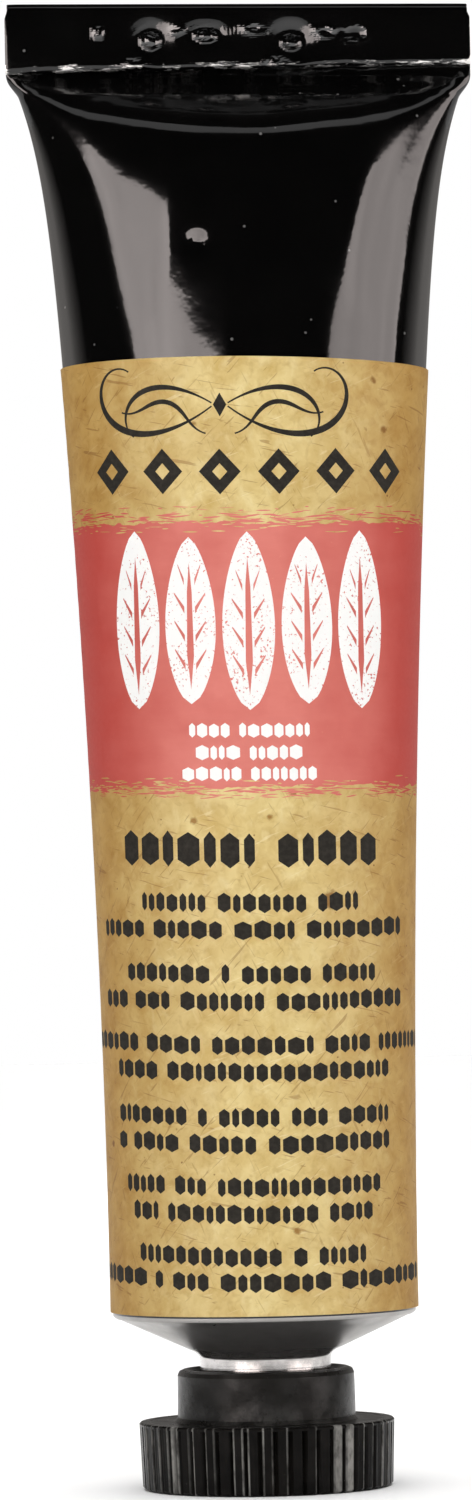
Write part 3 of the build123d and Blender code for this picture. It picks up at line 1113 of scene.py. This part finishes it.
def flat_sheet():
    """The label as a flat triangulated sheet: its points, its triangles and each triangle's
    finish. Its grid of points lets it bend with the body."""
    s_high = SEAM_S
    s_low = SEAM_S - GIRTH - OVERLAP
    z_low, z_high = LABEL_LOW[2], LABEL_HIGH[2]
    across = np.linspace(s_low, s_high, 78)
    up = np.linspace(z_low, z_high, 68)
    border = [(s, z_low) for s in across] + [(s_high, z) for z in up[1:]]
    border += [(s, z_high) for s in across[-2::-1]] + [(s_low, z) for z in up[-2:0:-1]]
    points = list(border)
    regions = [list(range(len(border)))]
    finishes = [0]
    margin = 0.02
    for finish, outline in printed_shapes(s_low + margin, s_high - margin):
        if min(s for s, _ in outline) < s_low or max(s for s, _ in outline) > s_high:
            continue
        outline = turned_left(outline)
        regions.append(list(range(len(points), len(points) + len(outline))))
        finishes.append(FINISHES.index(finish))
        points += outline
    shift = 0.25
    for row, z in enumerate(up[1:-1]):
        points += [(s + shift * (row % 2), z) for s in across[1:-1]]
    done = delaunay_2d_cdt([Vector(p) for p in points], [], regions, 1, 1e-4, True)
    flat, _, triangles, _, _, origins = done
    kept = [finishes[max(origin)] if origin else 0 for origin in origins]
    return np.array([tuple(p) for p in flat]), triangles, kept


def edge_loop(triangles):
    """The border edges of a triangulated sheet, each in its triangle's direction."""
    directed = {(t[i], t[(i + 1) % len(t)]) for t in triangles for i in range(len(t))}
    return [(a, b) for a, b in directed if (b, a) not in directed]


def make_label(materials):
    """The printed paper as one closed mesh in the place of the CAD's, with its overlap lifted.
    materials are in the order of FINISHES, and then comes the one for the paper's back."""
    flat, triangles, finish = flat_sheet()
    s, z = flat[:, 0], flat[:, 1]
    middle = look_up(SURFACE, s, z)
    normals = look_up(NORMALS, s, z)
    normals /= np.linalg.norm(normals, axis=1, keepdims=True)
    lap = SEAM_S - OVERLAP
    lift = SEAM_LIFT * smoothstep((s - lap + 1.2) / 1.1)[:, None]
    outer = crooked(middle + normals * (lift + PAPER / 2))
    inner = crooked(middle + normals * (lift - PAPER / 2))
    count = len(flat)
    faces = [list(t) for t in triangles]
    faces += [[i + count for i in reversed(t)] for t in triangles]
    rim = sorted(edge_loop(triangles))
    faces += [[b, a, a + count, b + count] for a, b in rim]
    indices = finish + [len(FINISHES)] * (len(triangles) + len(rim))
    points = (np.concatenate([outer, inner]) * MM).tolist()
    label = add_mesh("paper_label", points, faces, materials, indices)
    mesh = label.data
    layer = mesh.uv_layers.new(name="Sheet")
    corners = np.zeros(len(mesh.loops), int)
    mesh.loops.foreach_get("vertex_index", corners)
    layer.uv.foreach_set("vector", flat[corners % count].astype(np.float32).ravel())
    mesh.update()
    both = np.concatenate([normals, -normals])
    mesh.normals_split_custom_set_from_vertices(both.tolist())
    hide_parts("label")
    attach(label, "tube")


# ---- stage


TUBE_MIDDLE = Vector((0, 0, HEIGHT / 2))


def direction(azimuth, elevation):
    """Which way an azimuth, from the camera to its right, and an elevation point."""
    turn, lift = radians(azimuth), radians(elevation)
    level = cos(lift)
    return Vector((sin(turn) * level, -cos(turn) * level, sin(lift)))


def aim(position, target, roll=0.0):
    """A placement that looks from a position to a target, in millimetres."""
    position, target = Vector(position), Vector(target)
    turn = (target - position).to_track_quat("-Z", "Y").to_matrix().to_4x4()
    spin = Matrix.Rotation(radians(roll), 4, "Z")
    return Matrix.Translation(position * MM) @ turn @ spin


def softbox(name, azimuth, elevation, distance, size, radiance, lights_gloss):
    """A rectangular light that faces the tube. size is its width and height. It lights either
    the glossy side of every surface or the matt side."""
    light = bpy.data.lights.new(name, "AREA")
    light.shape = "RECTANGLE"
    light.size, light.size_y = size[0] * MM, size[1] * MM
    light.energy = radiance * pi * light.size * light.size_y
    box = add_object(name, light)
    box.matrix_world = aim(TUBE_MIDDLE + direction(azimuth, elevation) * distance, TUBE_MIDDLE)
    box.visible_camera = False
    box.visible_glossy = lights_gloss
    box.visible_diffuse = not lights_gloss


def reflector_card(name, corners, radiance):
    """A bright card that is seen only in reflections. Each corner is an azimuth and an elevation
    in degrees, seen from the tube's middle."""
    points = [(TUBE_MIDDLE + direction(*corner) * CARD_DISTANCE) * MM for corner in corners]
    material = bpy.data.materials.new(name)
    material.use_nodes = True
    tree = material.node_tree
    tree.nodes.clear()
    cloud = noise_at(object_mm(tree), 0.011, 2)
    level = remap(cloud, 0.3, 0.7, 0.84 * radiance, 1.26 * radiance)
    glow = add(tree, "Emission", {"Color": (1.0, 0.90, 0.87, 1), "Strength": level})
    tree.links.new(glow.outputs[0], add(tree, "OutputMaterial").inputs["Surface"])
    card = add_mesh(name, points, [range(len(points))], [material])
    card.visible_camera = False
    card.visible_diffuse = False
    card.visible_shadow = False


def studio_world():
    """White to the camera. To everything else it is dark in front and above, and bright low down
    past both sides, so that the black surfaces keep clean reflections."""
    world = bpy.data.worlds.new("studio")
    bpy.context.scene.world = world
    world.use_nodes = True
    tree = world.node_tree
    tree.nodes.clear()
    _, back, up = xyz(add(tree, "TexCoord").outputs["Generated"])
    flanks = remap(back, 0.1, 0.5, 0.02, 0.9)
    behind = remap(back, 0.55, 0.95, 1.0, 0.35)
    low_down = remap(up, 0.1, 0.6, 1.0, 0.02)
    glow = times(times(flanks, behind), low_down)
    seen = add(tree, "LightPath").outputs["Is Camera Ray"]
    dim = add(tree, "Background", {"Color": (1.0, 0.95, 0.91, 1), "Strength": glow})
    white = add(tree, "Background", {"Color": (1, 1, 1, 1), "Strength": 1.0})
    mixed = add(tree, "MixShader", {0: seen, 1: dim.outputs[0], 2: white.outputs[0]})
    tree.links.new(mixed.outputs[0], add(tree, "OutputWorld").inputs["Surface"])


def make_floor():
    """A wide pale floor under the cap."""
    material, tree = new_material("pale_floor", Roughness=0.9)
    cloud = noise_at(object_mm(tree), 0.004, 2)
    colour = mix_colour(cloud, (0.88, 0.88, 0.88), (0.86, 0.86, 0.86))
    varied(material, Base_Color=colour)
    half = 4000 * MM
    corners = [(-half, -half, 0), (half, -half, 0), (half, half, 0), (-half, half, 0)]
    floor = add_mesh("floor", corners, [(0, 1, 2, 3)], [material])


def make_sun(radiance):
    """Even light from straight above, so that the floor is as pale far off as it is near."""
    light = bpy.data.lights.new("overhead", "SUN")
    light.energy = radiance * pi
    light.angle = radians(70)
    sun = add_object("overhead", light)
    sun.visible_glossy = False


# Two tall cards with a raised part each, which give the enamel its two pale reflections:
# azimuth and elevation of each corner from the tube's middle, in degrees
CARD_DISTANCE = 420
LEFT_CARD = (
    (-11, -15), (-11, 16), (-36, 20), (-37, 26), (-58, 26), (-64, 21), (-54, 12), (-53, -15),
)
RIGHT_CARD = ((40, -15), (41, 14), (54, 25), (63, 25), (70, 18), (88, 12), (86, -15))


def make_lights():
    """The two cards, a strip above for the gloss, and soft light for the paper and the floor."""
    reflector_card("card_left", LEFT_CARD, 5.8)
    reflector_card("card_right", RIGHT_CARD, 4.5)
    softbox("overhead_strip", 0, 66, 420, (620, 110), 0.9, lights_gloss=True)
    softbox("front_fill", 0, 30, 700, (500, 500), 1.9, lights_gloss=False)
    softbox("back_fill", 180, 30, 700, (500, 500), 1.4, lights_gloss=False)
    make_sun(1.2)


# The camera stands in front and looks a little up. VIEW_HEIGHT is what its picture holds from
# top to bottom at the tube
CAMERA_DISTANCE = 350
CAMERA_SIDE = -1.04
CAMERA_HEIGHT = 29.0
CAMERA_ROLL = -1.22
VIEW_MIDDLE_Z = 46.15
VIEW_HEIGHT = 94.3
SENSOR = 24.0


def make_camera():
    """The photo's own view."""
    data = bpy.data.cameras.new("camera")
    data.sensor_fit = "VERTICAL"
    data.sensor_height = SENSOR
    data.lens = SENSOR * CAMERA_DISTANCE / VIEW_HEIGHT
    data.clip_start = 0.01
    camera = add_object("camera", data)
    place = (CAMERA_SIDE, -CAMERA_DISTANCE, CAMERA_HEIGHT)
    camera.matrix_world = aim(place, (CAMERA_SIDE, 0, VIEW_MIDDLE_Z), CAMERA_ROLL)
    bpy.context.scene.camera = camera


# ---- scene


def finish_cad_node(name, material):
    """Gives a CAD mesh its procedural material."""
    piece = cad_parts[name]
    piece.data.materials.clear()
    piece.data.materials.append(material)


finish_cad_node("cap", cap_material())
finish_cad_node("cap_liner", foam_material())
LATEX_TONES = ((0.80, 0.72, 0.52), (0.62, 0.53, 0.34))
INK_TONES = ((0.62, 0.035, 0.03), (0.42, 0.015, 0.02))
INK_COAT = {"Coat_Weight": 0.4, "Coat_Roughness": 0.08}
latex = cloudy_material("dried_latex", 1.2, LATEX_TONES, (0.35, 0.6), 0.03, 0.5)
ink = cloudy_material("red_ink", 0.6, INK_TONES, (0.18, 0.35), 0.1, 0.4, **INK_COAT)
finish_cad_node("end_seal", latex)
finish_cad_node("ink_charge", ink)
make_shell(bare_metal_material(), enamel_material())
kraft_paper = printed_material("kraft_paper", kraft_colour)
make_label((
    kraft_paper,
    printed_material("red_print", red_colour),
    printed_material("white_print", white_colour),
    printed_material("charcoal_print", charcoal_colour, 0.12, 0.6),
    kraft_paper,
))
make_floor()
studio_world()
make_lights()
make_camera()
bpy.context.scene.view_settings.view_transform = "Standard"
